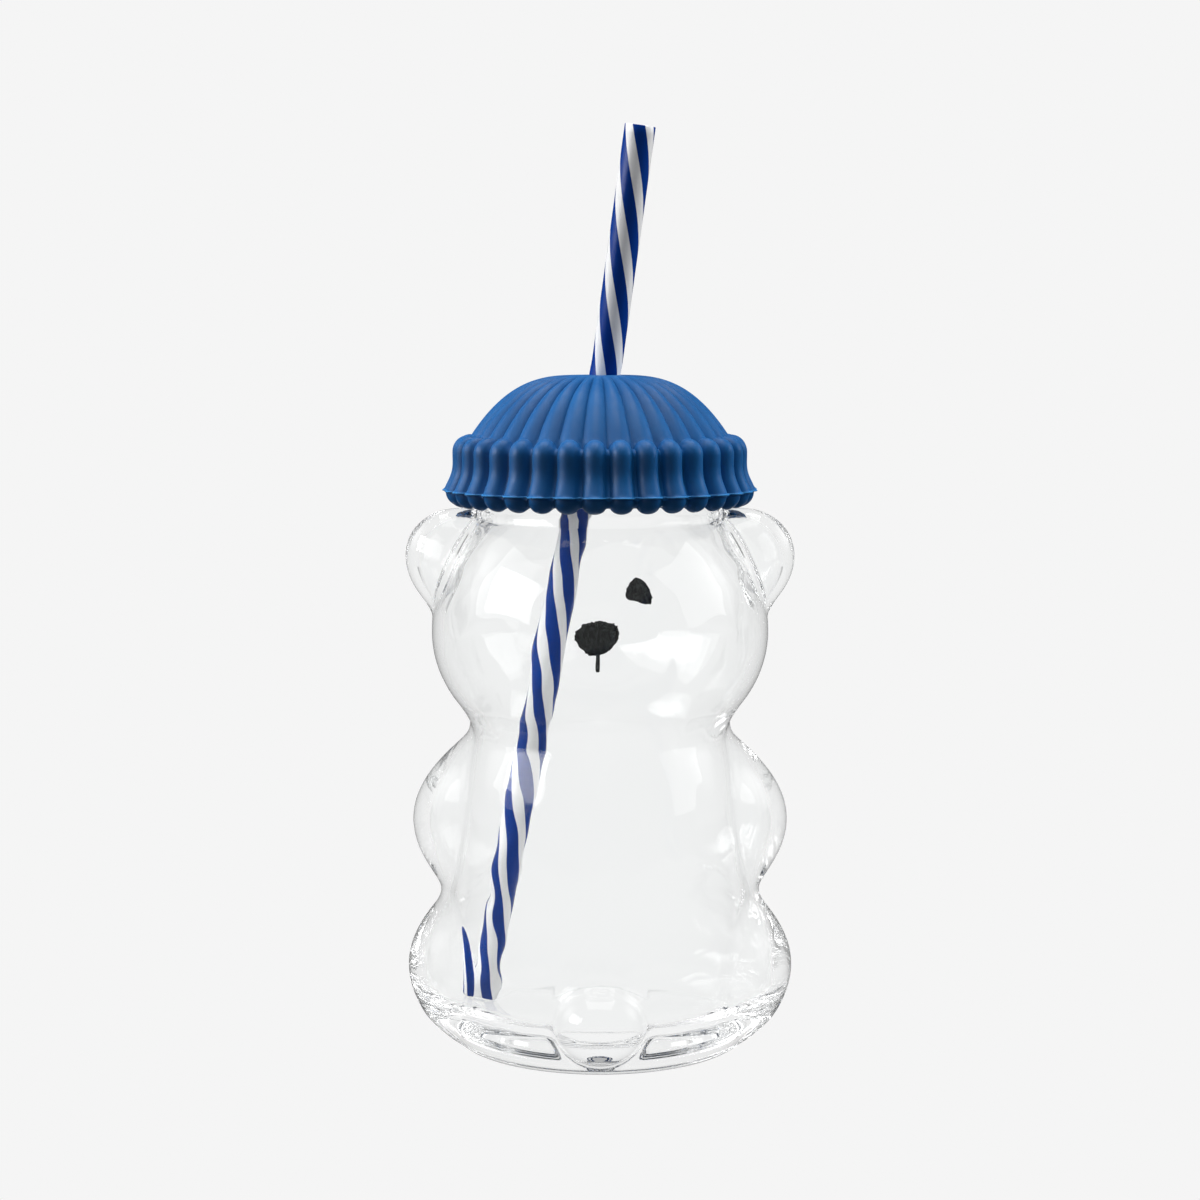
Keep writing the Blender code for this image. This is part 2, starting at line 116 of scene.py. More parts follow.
MOUTH_LINE_SLANT = 0.00033
MOUTH_LINE_DROP = 0.0050
MOUTH_LINE_MIDDLE_SHARE = 1.15
MOUTH_LINE_TAPER_SHARE = 0.3
MOUTH_LINE_SIDE_CURVE = 0.3
MOUTH_LINE_END_CURVE = 0.5

# Lid
RIB_COUNT = 34
CROWN_HEIGHT = 0.0155
CROWN_RADIUS = 0.0342
CROWN_FLAT_RADIUS = 0.0060
CROWN_WALL = 0.0030
CROWN_GROOVE = 0.0014
CUFF_CAP_ROUND = 0.0042
CUFF_FLARE = 0.0023
CUFF_HEM_ROUND = 0.0042
CUFF_GROOVE = 0.0024
CUFF_WAIST = 0.0005
LIP_ROWS = ((0.0004, 0), (0.00024, 0.0002), (0.0001, 0.00042), (-0.0001, 0.0004), (-0.00022, 0),
            (-0.0003, -0.0005))
HEM_LEDGE = 0.0005
CAP_CREASE = 0.0007
CROWN_CURVE = 2.7
CROWN_GROOVE_START_SHARE = 0.05
CROWN_GROOVE_FADE_SHARE = 0.4
RIB_PHASE = 0.2
CROWN_SOFTNESS = 0.25
COLUMN_SHARE = 0.84
COLUMN_FILLET = 0.45
HEM_CHAMFER = 0.0060
HEM_OPENING = 0.0022
HEM_LIFT = 0.0014
HEM_CLEARANCE = 0.0006
HEM_GROOVE_LOSS_SHARE = 0.35
CUFF_FLARE_CURVE = 1.7
PLUG_DEPTH = 0.0070
PLUG_WALL = 0.0022
SEAT_TO_CROWN = 0.0049
FIT_GAP = 0.00035

# Straw
STRAW_RADIUS = 0.0040
STRAW_WALL = 0.0006
STRAW_TOP_LENGTH = 0.0603
STRAW_BEND_LIFT = 0.0022
STRAW_BEND_RADIUS = 0.0350
STRAW_HOLE_SHIFT = 0.0012
STRAW_LEAN_SHARES = (0.2013, -0.052)
STRAW_TOP_LEAN_SHARES = (0.140, -0.052)
STRIPE_COUNT = 4
STRIPE_PITCH = 0.0755
STRIPE_PHASE = -0.019
BLUE_SHARE = 0.53
STRIPE_EDGE_SHARE = 0.015

# Counts, spacings and an angle that set how fine the shapes are
SHARP_ANGLE = radians(50)
GLASS_STEPS = 300
GLASS_ROW_SPACING = 0.0010
ROUND_STEPS = 12
RIM_STEPS = 10
STEPS_PER_RIB = 14
CROWN_STEPS = 40
CAP_STEPS = 12
CAP_STEP_DEGREES = 9
COLUMN_STEPS = 14
HEM_STEPS = 12
CEILING_STEPS = 12
STRAW_STEPS = 96
STRAW_ROW_SPACING = 0.0020
PRINT_STEPS = 96
PRINT_MIDDLE_SHARE = 0.08
PRINT_ROW_SHARE = 0.092

# Places taken from the frame, or worked out
RIM_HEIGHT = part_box("bear_jar")[1].z
LID_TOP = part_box("beanie_lid")[1].z
MOUTH_FOOT_HEIGHT = HEAD_HEIGHT + sqrt(HEAD_RADIUS ** 2 - MOUTH_RADIUS ** 2)
MOUTH_BORE = MOUTH_RADIUS - MOUTH_WALL
SEAT_HEIGHT = RIM_HEIGHT + FIT_GAP
CROWN_BASE_HEIGHT = SEAT_HEIGHT + SEAT_TO_CROWN
LEAN_DOWN = Vector((*STRAW_LEAN_SHARES, 1)).normalized()
LEAN_UP = Vector((*STRAW_TOP_LEAN_SHARES, 1)).normalized()
HOLE_MIDDLE = Vector((STRAW_HOLE_SHIFT, 0, LID_TOP))


# Shapes

def soft_max(first, second, blend):
    """Larger of two lengths, rounded over where they are nearly equal."""
    overlap = max(blend - abs(first - second), 0) / blend
    return max(first, second) + blend * overlap ** 2 / 4


def ease(share):
    """Smooth step from 0 to 1."""
    kept = min(max(share, 0), 1)
    return kept * kept * (3 - 2 * kept)


def steps_between(low, high, spacing):
    """Evenly spaced values from low to high, both included."""
    count = max(ceil(abs(high - low) / spacing), 1)
    return [low + (high - low) * step / count for step in range(count + 1)]


def ellipse_radius(radius, reach, away):
    share = min(abs(away) / reach, 1)
    return radius * sqrt(1 - share * share)


def body_radius(height):
    """Radius of the glass up to the head's widest level, without lobes and the foot's round."""
    if height < TORSO_HEIGHT:
        share = ease((TORSO_HEIGHT - height) / (TORSO_HEIGHT - HIP_HEIGHT))
        torso = TORSO_RADIUS + (HIP_RADIUS - TORSO_RADIUS) * share
    else:
        torso = ellipse_radius(TORSO_RADIUS, TORSO_REACH, height - TORSO_HEIGHT)
    head = ellipse_radius(HEAD_RADIUS, CHIN_REACH, height - HEAD_HEIGHT)
    return soft_max(torso, head, CHIN_BLEND)


class Lobe:
    """A swelling of the glass with an oval outline; its middle is at an azimuth and at a run,
    which is the height up to the head's widest level and goes on along the dome above it.

    Power makes its outline squarer, edge makes its side steeper below 1 and gentler above it."""

    def __init__(self, azimuth, run, rise, half_width, half_height, power=2, edge=1, hollow=1):
        self.azimuth = azimuth
        self.run = run
        self.rise = rise
        self.half_angle = half_width / body_radius(min(run, HEAD_HEIGHT))
        self.half_height = half_height
        self.power = power
        self.edge = edge
        self.hollow = hollow

    def height_at(self, azimuth, run):
        """Height over the plain body, and below it outside the oval."""
        turn = (azimuth - self.azimuth + pi) % (2 * pi) - pi
        across = abs(turn) / self.half_angle
        along = abs(run - self.run) / self.half_height
        left = 1 - across ** self.power - along ** 2
        if left <= 0:
            return self.rise * left
        return self.rise * left ** self.edge


def bear_lobes():
    """Muzzle, tail, ears, arms and legs."""
    lobes = [
        Lobe(pi / 2, HEAD_HEIGHT - MUZZLE_DROP, MUZZLE_RISE, MUZZLE_HALF_WIDTH, MUZZLE_HALF_HEIGHT,
             hollow=MUZZLE_HOLLOW_SHARE),
        Lobe(-pi / 2, TAIL_HEIGHT, TAIL_RISE, TAIL_HALF_WIDTH, TAIL_HALF_HEIGHT, edge=0.6,
             hollow=TAIL_HOLLOW_SHARE),
    ]
    for side in (0, pi):
        forward = 1 if side == 0 else -1
        lobes.append(Lobe(side, HEAD_HEIGHT + EAR_LIFT, EAR_RISE, EAR_HALF_WIDTH, EAR_HALF_HEIGHT,
                          hollow=EAR_HOLLOW_SHARE))
        lobes.append(Lobe(side + forward * ARM_TURN, ARM_HEIGHT, ARM_RISE, ARM_HALF_WIDTH,
                          ARM_HALF_HEIGHT, edge=1.15, hollow=LIMB_HOLLOW_SHARE))
        lobes.append(Lobe(side + forward * LEG_TURN, LEG_HEIGHT, LEG_RISE, LEG_HALF_WIDTH,
                          LEG_HALF_HEIGHT, power=3, edge=1.1, hollow=LIMB_HOLLOW_SHARE))
    return lobes


LOBES = bear_lobes()


def swelling(azimuth, run, inside):
    """Height of the lobes over the plain body, rounded where they meet it and each other."""
    height = 0
    for lobe in LOBES:
        rise = lobe.height_at(azimuth, run) * (lobe.hollow if inside else 1)
        if rise > -LOBE_BLEND:
            height = soft_max(height, rise, LOBE_BLEND)
    return height


def skin_point(azimuth, run, outwards, inside=False):
    """Point of the glass's skin, moved outwards by a length."""
    if run <= HEAD_HEIGHT:
        reach = body_radius(run) + swelling(azimuth, run, inside) + outwards
        return Vector((reach * cos(azimuth), reach * sin(azimuth), run))
    tilt = (run - HEAD_HEIGHT) / HEAD_RADIUS
    reach = HEAD_RADIUS + swelling(azimuth, run, inside) + outwards
    flat = reach * cos(tilt)
    return Vector((flat * cos(azimuth), flat * sin(azimuth), HEAD_HEIGHT + reach * sin(tilt)))


def ring_point(radius, height, azimuth):
    return Vector((radius * cos(azimuth), radius * sin(azimuth), height))


def ringed(rows, steps, place, joined=False):
    """Mesh of one ring per row, each ring drawn out of the one before.

    place(row, azimuth) gives a ring's point. The ends are capped, or joined to each other.
    """
    bm = bmesh.new()
    azimuths = bm.verts.layers.float.new("azimuth")
    numbers = bm.verts.layers.int.new("row")
    bmesh.ops.create_circle(bm, cap_ends=not joined, segments=steps, radius=1)
    for vert in bm.verts:
        vert[azimuths] = atan2(vert.co.y, vert.co.x)
    ring = bm.edges[:]
    first_ring = ring
    for vert in bm.verts:
        vert.co = place(rows[0], vert[azimuths])
    for number, row in enumerate(rows[1:], 1):
        grown = bmesh.ops.extrude_edge_only(bm, edges=ring)["geom"]
        verts = {item for item in grown if isinstance(item, bmesh.types.BMVert)}
        ring = [item for item in grown
                if isinstance(item, bmesh.types.BMEdge) and verts.issuperset(item.verts)]
        for vert in verts:
            vert.co = place(row, vert[azimuths])
            vert[numbers] = number
    if joined:
        bmesh.ops.bridge_loops(bm, edges=first_ring + ring)
    else:
        bmesh.ops.edgeloop_fill(bm, edges=ring)
    return bm


def piece(name, bm, material, body, node):
    """Finished object that rides on a body and stands for a CAD node."""
    bmesh.ops.recalc_face_normals(bm, faces=bm.faces)
    mesh = bpy.data.meshes.new(name)
    bm.to_mesh(mesh)
    bm.free()
    mesh.shade_smooth()
    mesh.set_sharp_from_angle(angle=SHARP_ANGLE)
    mesh.materials.append(material)
    made = bpy.data.objects.new(name, mesh)
    bpy.context.scene.collection.objects.link(made)
    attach(made, body)
    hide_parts(node)
    return made


# Materials

NOISE_LOW = 0.3
NOISE_HIGH = 0.7


class Finish:
    """Principled material under construction, on object coordinates."""

    def __init__(self, name):
        self.material = bpy.data.materials.new(name)
        self.material.use_nodes = True
        self.tree = self.material.node_tree
        self.shader = self.tree.nodes["Principled BSDF"]
        self.place = self.tree.nodes.new("ShaderNodeTexCoord").outputs["Object"]

    def set(self, **values):
        for name, value in values.items():
            self.shader.inputs[name.replace("_", " ")].default_value = value

    def link(self, output, socket):
        self.tree.links.new(output, self.shader.inputs[socket])

    def noise(self, scale, detail=2, roughness=0.5):
        made = self.tree.nodes.new("ShaderNodeTexNoise")
        made.inputs["Scale"].default_value = scale
        made.inputs["Detail"].default_value = detail
        made.inputs["Roughness"].default_value = roughness
        self.tree.links.new(self.place, made.inputs["Vector"])
        return made.outputs["Fac"]

    def spread(self, value, low, high):
        """Value mapped from the noise's usual span to low and high."""
        made = self.tree.nodes.new("ShaderNodeMapRange")
        made.inputs["From Min"].default_value = NOISE_LOW
        made.inputs["From Max"].default_value = NOISE_HIGH
        made.inputs["To Min"].default_value = low
        made.inputs["To Max"].default_value = high
        self.tree.links.new(value, made.inputs["Value"])
        return made.outputs["Result"]

    def shades(self, value, stops):
        """Colours along a value."""
        made = self.tree.nodes.new("ShaderNodeValToRGB")
        elements = made.color_ramp.elements
        while len(elements) < len(stops):
            elements.new(0.5)
        for element, (position, colour) in zip(elements, stops):
            element.position = position
            element.color = (*colour, 1)
        self.tree.links.new(value, made.inputs["Fac"])
        return made.outputs["Color"]

    def bump(self, value, strength, distance, under=None):
        made = self.tree.nodes.new("ShaderNodeBump")
        made.inputs["Strength"].default_value = strength
        made.inputs["Distance"].default_value = distance
        self.tree.links.new(value, made.inputs["Height"])
        if under:
            self.tree.links.new(under, made.inputs["Normal"])
        return made.outputs["Normal"]


def clear_glass():
    made = Finish("clear_glass")
    made.set(Transmission_Weight=1, IOR=1.5, Roughness=0, Specular_Tint=(0.25, 0.25, 0.25, 1))
    green, clear = (0.984, 0.991, 0.990), (0.990, 0.995, 0.994)
    made.link(made.shades(made.noise(25), [(0, green), (1, clear)]), "Base Color")
    made.link(made.bump(made.noise(120), 0.02, 0.0005), "Normal")
    return made.material


def blue_rubber():
    made = Finish("blue_rubber")
    made.set(Specular_IOR_Level=0.2)
    # The lighter blue on the parting ridge is a painted highlight, standing in for the light that the
    # ridge catches
    deep, bright, painted_lip_highlight = (0.004, 0.078, 0.250), (0.006, 0.096, 0.290), (0.030, 0.20, 0.50)
    cloud = made.noise(90, detail=4, roughness=0.6)
    blues = made.shades(cloud, [(NOISE_LOW, deep), (NOISE_HIGH, bright)])
    painted_highlight_mask = made.tree.nodes.new("ShaderNodeAttribute")
    painted_highlight_mask.attribute_name = "painted_lip_highlight"
    mixed = made.tree.nodes.new("ShaderNodeMixRGB")
    made.tree.links.new(painted_highlight_mask.outputs["Fac"], mixed.inputs["Fac"])
    made.tree.links.new(blues, mixed.inputs["Color1"])
    mixed.inputs["Color2"].default_value = (*painted_lip_highlight, 1)
    made.link(mixed.outputs["Color"], "Base Color")
    made.link(made.spread(made.noise(420, detail=3), 0.42, 0.58), "Roughness")
    grain = made.bump(made.noise(2600, detail=3), 0.12, 0.00012)
    made.link(made.bump(made.noise(240), 0.08, 0.0004, under=grain), "Normal")
    return made.material


def dark_enamel():
    made = Finish("dark_enamel")
    cloud = made.noise(700, detail=5, roughness=0.65)
    dark, mid, scratch = (0.006, 0.0075, 0.0075), (0.018, 0.021, 0.021), (0.085, 0.095, 0.095)
    stops = [(NOISE_LOW, dark), (0.50, mid), (0.53, scratch), (0.56, mid), (NOISE_HIGH, dark)]
    made.link(made.shades(cloud, stops), "Base Color")
    made.set(Specular_IOR_Level=0.2)
    made.link(made.spread(cloud, 0.45, 0.7), "Roughness")
    made.link(made.bump(made.noise(1500, detail=4), 0.35, 0.00015), "Normal")
    return made.material


def striped_plastic():
    """Blue and white stripes that wind round the straw, from its own UV map: U runs once round,
    and V is 1 at every pitch."""
    made = Finish("striped_plastic")
    nodes, links = made.tree.nodes, made.tree.links
    around = nodes.new("ShaderNodeUVMap")
    around.uv_map = "wound"
    split = nodes.new("ShaderNodeSeparateXYZ")
    links.new(around.outputs["UV"], split.inputs["Vector"])
    total = nodes.new("ShaderNodeMath")
    total.operation = "ADD"
    links.new(split.outputs["X"], total.inputs[0])
    links.new(split.outputs["Y"], total.inputs[1])
    turns = nodes.new("ShaderNodeMath")
    turns.operation = "MULTIPLY"
    turns.inputs[1].default_value = STRIPE_COUNT
    links.new(total.outputs["Value"], turns.inputs[0])
    phase = nodes.new("ShaderNodeMath")
    phase.operation = "FRACT"
    links.new(turns.outputs["Value"], phase.inputs[0])
    blue = (0.002, 0.040, 0.270)
    white = (0.95, 0.955, 0.96)
    stops = [(0, blue), (BLUE_SHARE, blue), (BLUE_SHARE + STRIPE_EDGE_SHARE, white),
             (1 - STRIPE_EDGE_SHARE, white), (1, blue)]
    made.link(made.shades(phase.outputs["Value"], stops), "Base Color")
    made.link(made.spread(made.noise(300), 0.16, 0.26), "Roughness")
    made.set(Specular_IOR_Level=0.15)
    made.link(made.bump(made.noise(500), 0.04, 0.0003), "Normal")
    return made.material


# Pieces

def ear_top():
    """Highest point of an ear."""
    runs = steps_between(HEAD_HEIGHT, HEAD_HEIGHT + HEAD_RADIUS, GLASS_ROW_SPACING)
    return max(skin_point(0, run, 0).z for run in runs if run < HEAD_HEIGHT + EAR_RUN)


def bear_jar(glass):
    """The glass: foot, body, head and mouth outside, then mouth, head, body and floor inside.

    A row is its run, how far it is set in, and whether it is inside. A row of the mouth is
    a plain ring, with its radius in place of how far it is set in, and None in place of inside.
    """
    rows = []
    for step in range(ROUND_STEPS):
        turn = pi / 2 * step / ROUND_STEPS
        rows.append((FOOT_ROUND * (1 - cos(turn)), FOOT_ROUND * (1 - sin(turn)), False))
    for run in steps_between(FOOT_ROUND, HEAD_HEIGHT, GLASS_ROW_SPACING):
        rows.append((run, 0, False))
    dome_run = HEAD_RADIUS * acos(MOUTH_RADIUS / HEAD_RADIUS)
    for run in steps_between(0, dome_run, GLASS_ROW_SPACING)[1:]:
        rows.append((HEAD_HEIGHT + run, 0, False))
    mouth_foot = max(ear_top(), MOUTH_FOOT_HEIGHT)
    rim_round = MOUTH_WALL / 2
    rows.append((mouth_foot, MOUTH_RADIUS, None))
    for step in range(RIM_STEPS + 1):
        turn = pi * step / RIM_STEPS
        rows.append((RIM_HEIGHT - rim_round * (1 - sin(turn)),
                     MOUTH_RADIUS - rim_round * (1 - cos(turn)), None))
    rows.append((mouth_foot - rim_round, MOUTH_BORE, None))
    inner_radius = HEAD_RADIUS - SIDE_WALL
    inner_run = HEAD_RADIUS * acos(MOUTH_BORE / inner_radius)
    for run in steps_between(inner_run, 0, GLASS_ROW_SPACING):
        rows.append((HEAD_HEIGHT + run, SIDE_WALL, True))
    floor_edge = BASE_THICKNESS + FLOOR_ROUND
    for run in steps_between(HEAD_HEIGHT, floor_edge, GLASS_ROW_SPACING)[1:]:
        rows.append((run, SIDE_WALL, True))
    for step in range(1, ROUND_STEPS + 1):
        turn = pi / 2 * step / ROUND_STEPS
        rows.append((floor_edge - FLOOR_ROUND * sin(turn),
                     SIDE_WALL + FLOOR_ROUND * (1 - cos(turn)), True))

    def place(row, azimuth):
        run, inset, inside = row
        if inside is None:
            return ring_point(inset, run, azimuth)
        if inside:
            spot = skin_point(azimuth, run, 0) / WAVE_LENGTH
            inset += WAVE_HEIGHT * noise.noise(spot)
        return skin_point(azimuth, run, -inset, inside)

    return piece("blown_bear", ringed(rows, GLASS_STEPS, place), glass, "jar", "bear_jar")


def crown_drop(share):
    """How far the crown's outside lies below its top, from its flat at 0 to its base at 1."""
    return CROWN_HEIGHT * share ** CROWN_CURVE


def lid_outside(hem):
    """Lid's outside at the top of a rib, from top to hem. A row is a radius, a height, how deep
    the groove is, and how far the surface stands out there or in."""
    rows = []
    end_radius = CROWN_RADIUS - CAP_CREASE
    for share in steps_between(0, 1, 1 / CROWN_STEPS):
        groove = CROWN_GROOVE * ease((share - CROWN_GROOVE_START_SHARE) / CROWN_GROOVE_FADE_SHARE)
        radius = CROWN_FLAT_RADIUS + (end_radius - CROWN_FLAT_RADIUS) * share
        rows.append((radius, LID_TOP - crown_drop(share), groove, 0))
    cap_height = CROWN_BASE_HEIGHT - CUFF_CAP_ROUND
    for step in reversed(range(CAP_STEPS)):
        turn = radians(CAP_STEP_DEGREES * step)
        rows.append((CROWN_RADIUS + CUFF_CAP_ROUND * cos(turn),
                     cap_height + CUFF_CAP_ROUND * sin(turn), CUFF_GROOVE, 0))
    parting = hem + CUFF_HEM_ROUND
    cap_reach = CROWN_RADIUS + CUFF_CAP_ROUND
    for share in steps_between(0, 1, 1 / COLUMN_STEPS)[1:]:
        waist = CUFF_WAIST * sin(pi * share) ** 2
        rows.append((cap_reach + CUFF_FLARE * share ** CUFF_FLARE_CURVE,
                     cap_height + (parting - cap_height) * share, CUFF_GROOVE, -waist))
    radius, height, groove = rows.pop()[:3]
    for lift, rise in LIP_ROWS:
        rows.append((radius, height + lift, groove, rise))
    hem_middle = cap_reach + CUFF_FLARE - CUFF_HEM_ROUND
    for step in range(1, HEM_STEPS + 1):
        turn = pi / 2 * step / HEM_STEPS
        share = step / HEM_STEPS
        rows.append((hem_middle + CUFF_HEM_ROUND * cos(turn), parting - CUFF_HEM_ROUND * sin(turn),
                     CUFF_GROOVE * (1 - HEM_GROOVE_LOSS_SHARE * share), -HEM_LEDGE * (1 - share)))
    return rows


def lid_inside(hem):
    """Lid's inside from the hem up: sleeve over the mouth, seat, plug that hangs in, hollow crown."""
    sleeve = MOUTH_RADIUS + FIT_GAP
    plug = MOUTH_BORE - FIT_GAP
    plug_end = SEAT_HEIGHT - PLUG_DEPTH
    hollow = plug - PLUG_WALL
    rows = [
        (sleeve + HEM_OPENING, hem + HEM_LIFT, 0, 0),
        (sleeve, hem + HEM_CHAMFER, 0, 0),
        (sleeve, SEAT_HEIGHT, 0, 0),
        (plug, SEAT_HEIGHT, 0, 0),
        (plug, plug_end, 0, 0),
        (hollow, plug_end, 0, 0),
    ]
    flat = CROWN_FLAT_RADIUS
    span = CROWN_RADIUS - CROWN_WALL - flat
    for radius in steps_between(hollow, flat, (hollow - flat) / CEILING_STEPS):
        rows.append((radius, LID_TOP - CROWN_WALL - crown_drop((radius - flat) / span), 0, 0))
    return rows


def directed_rows(rows):
    """Adds to each row the outward direction of the outline there."""
    made = []
    for index, (radius, height, groove, rise) in enumerate(rows):
        before = rows[max(index - 1, 0)]
        after = rows[min(index + 1, len(rows) - 1)]
        along_r = after[0] - before[0]
        along_z = after[1] - before[1]
        length = hypot(along_r, along_z)
        made.append((radius, height, groove, rise, -along_z / length, along_r / length))
    return made


def beanie_lid(rubber):
    """One-piece rubber lid: ribbed crown, fluted cuff with a scalloped hem, and a plug inside.

    The straw's hole is left between the first ring, on top, and the last, on the ceiling."""
    hem = ear_top() + HEM_CLEARANCE
    hole = STRAW_RADIUS + FIT_GAP / 4

    def hole_point(height, azimuth):
        middle = HOLE_MIDDLE + LEAN_DOWN * ((height - LID_TOP) / LEAN_DOWN.z)
        return Vector((middle.x, middle.y, height)) + ring_point(hole, 0, azimuth)

    def place(row, azimuth):
        if len(row) == 1:
            return hole_point(row[0], azimuth)
        radius, height, groove, rise, out_r, out_z = row
        away = abs(2 * ((azimuth * RIB_COUNT / (2 * pi) + RIB_PHASE) % 1) - 1)
        if height > CROWN_BASE_HEIGHT:
            creased = 1 - sqrt(max(1 - away ** 2, 0))
            waved = (1 - cos(pi * away)) / 2
            share = creased + (waved - creased) * CROWN_SOFTNESS
        else:
            column = sqrt(max(1 - (away / COLUMN_SHARE) ** 2, 0))
            share = (1 - soft_max(column, 0, COLUMN_FILLET)) / (1 - COLUMN_FILLET / 4)
        depth = groove * share - rise
        return ring_point(radius - depth * out_r, height - depth * out_z, azimuth)

    rows = [(LID_TOP,)] + directed_rows(lid_outside(hem)) + directed_rows(lid_inside(hem))
    rows.append((LID_TOP - CROWN_WALL,))
    bm = ringed(rows, RIB_COUNT * STEPS_PER_RIB, place, joined=True)
    numbers = bm.verts.layers.int["row"]
    # Marks the proud rows of the parting ridge, where the rubber takes a painted highlight in a lighter
    # blue
    painted_lip_highlight = bm.verts.layers.float.new("painted_lip_highlight")
    for vert in bm.verts:
        row = rows[vert[numbers]]
        vert[painted_lip_highlight] = 1 if len(row) > 1 and row[3] > LIP_ROWS[1][1] / 2 else 0
    return piece("ribbed_lid", bm, rubber, "lid", "beanie_lid")


def straw(plastic):
    """Straw that leans in the glass, with a slight bend just above the lid."""
    bend_angle = LEAN_DOWN.angle(LEAN_UP)
    bend_length = STRAW_BEND_RADIUS * bend_angle
    end_drop = STRAW_RADIUS * sin(LEAN_DOWN.angle(Vector((0, 0, 1))))
    low_end = BASE_THICKNESS + FIT_GAP + end_drop
    below = (LID_TOP - low_end) / LEAN_DOWN.z
    bend_start = below + STRAW_BEND_LIFT
    length = bend_start + bend_length + STRAW_TOP_LENGTH
    bore = STRAW_RADIUS - STRAW_WALL
    edge = STRAW_WALL / 4
    stations = steps_between(edge, length - edge, STRAW_ROW_SPACING)
    rows = [(STRAW_RADIUS - edge, 0)]
    rows += [(STRAW_RADIUS, along) for along in stations]
    rows += [(STRAW_RADIUS - edge, length), (bore + edge, length)]
    rows += [(bore, along) for along in reversed(stations)]
    rows.append((bore + edge, 0))
    bottom = HOLE_MIDDLE - LEAN_DOWN * below
    across = (LEAN_UP - LEAN_DOWN * LEAN_UP.dot(LEAN_DOWN)).normalized()

    def centre(along):
        """Middle of the straw and its direction at a distance from its lower end."""
        in_bend = min(max(along - bend_start, 0), bend_length)
        turn = in_bend / STRAW_BEND_RADIUS
        heading = LEAN_DOWN * cos(turn) + across * sin(turn)
        middle = bottom + LEAN_DOWN * (min(along, bend_start) + STRAW_BEND_RADIUS * sin(turn))
        middle += across * STRAW_BEND_RADIUS * (1 - cos(turn))
        middle += heading * max(along - bend_start - bend_length, 0)
        return middle, heading

    def place(row, azimuth):
        radius, along = row
        middle, heading = centre(along)
        turn = Vector((0, 0, 1)).rotation_difference(heading)
        return middle + turn @ ring_point(radius, 0, azimuth)

    bm = ringed(rows, STRAW_STEPS, place, joined=True)
    azimuths = bm.verts.layers.float["azimuth"]
    wound = bm.loops.layers.uv.new("wound")
    for face in bm.faces:
        turns = [loop.vert[azimuths] / (2 * pi) for loop in face.loops]
        over_seam = max(turns) - min(turns) > 0.5
        for loop, turn in zip(face.loops, turns):
            along = (loop.vert.co - bottom).dot(LEAN_DOWN)
            whole = 1 if over_seam and turn < 0 else 0
            loop[wound].uv = (turn + whole, along / STRIPE_PITCH + STRIPE_PHASE)
    return piece("striped_straw", bm, plastic, "straw", "straw")


def face_prints(jar, enamel):
    """Eyes, nose and mouth line, printed on the face in dark enamel."""
    glass = BVHTree.FromObject(jar, bpy.context.evaluated_depsgraph_get())

    def print_on(name, node, side, height, outline):
        rows = [(share, 1) for share in steps_between(PRINT_MIDDLE_SHARE, 1, PRINT_ROW_SHARE)]
        rows += [(share, 0) for share, layer in reversed(rows)]

        def place(row, turn):
            share, layer = row
            across, up = outline(turn)
            front = Vector((side - share * across, 2 * HEAD_RADIUS, height + share * up))
            hit = glass.ray_cast(front, Vector((0, -1, 0)))[0]
            thickness = PRINT_THICKNESS * layer * (1 - share ** PRINT_EDGE_CURVE)
            return hit + Vector((0, PRINT_GAP + thickness, 0))

        bm = ringed(rows, PRINT_STEPS, place)
        return piece(name, bm, enamel, "jar", node)

    def drawn(radii, side):
        """Outline with a corner at each radius, all at equal turns, with a slightly uneven edge.
        It is written as seen from behind the glass, at the right of the face."""
        corners = []
        for index, radius in enumerate(radii):
            turn = 2 * pi * index / len(radii)
            corners.append(Vector((radius * cos(turn), radius * sin(turn))))

        def outline(turn):
            place = turn / (2 * pi) % 1 * len(corners)
            first = int(place) % len(corners)
            spot = corners[first].lerp(corners[(first + 1) % len(corners)], place - int(place))
            spot *= 1 + PRINT_RAGGEDNESS * noise.noise(Vector((*spot, 0)) / PRINT_RAGGED_LENGTH)
            return -side * spot.x, spot.y
        return outline

    def line_outline(turn):
        across = abs(cos(turn)) ** MOUTH_LINE_SIDE_CURVE * (1 if cos(turn) > 0 else -1)
        up = abs(sin(turn)) ** MOUTH_LINE_END_CURVE * (1 if sin(turn) > 0 else -1)
        width = MOUTH_LINE_HALF_WIDTH * (MOUTH_LINE_MIDDLE_SHARE + MOUTH_LINE_TAPER_SHARE * up)
        return width * across + MOUTH_LINE_SLANT * up, MOUTH_LINE_DROP / 2 * up

    eye_height = HEAD_HEIGHT + EYE_LIFT
    line_height = NOSE_HEIGHT - MOUTH_LINE_TOP - MOUTH_LINE_DROP / 2
    print_on("printed_left_eye", "left_eye", -EYE_SPACING / 2, eye_height, drawn(EYE_RADII, -1))
    print_on("printed_right_eye", "right_eye", EYE_SPACING / 2, eye_height, drawn(EYE_RADII, 1))
    print_on("printed_nose", "nose", 0, NOSE_HEIGHT, drawn(NOSE_RADII, 1))
    print_on("printed_mouth_line", "mouth_line", -MOUTH_LINE_SIDE, line_height, line_outline)


# Studio

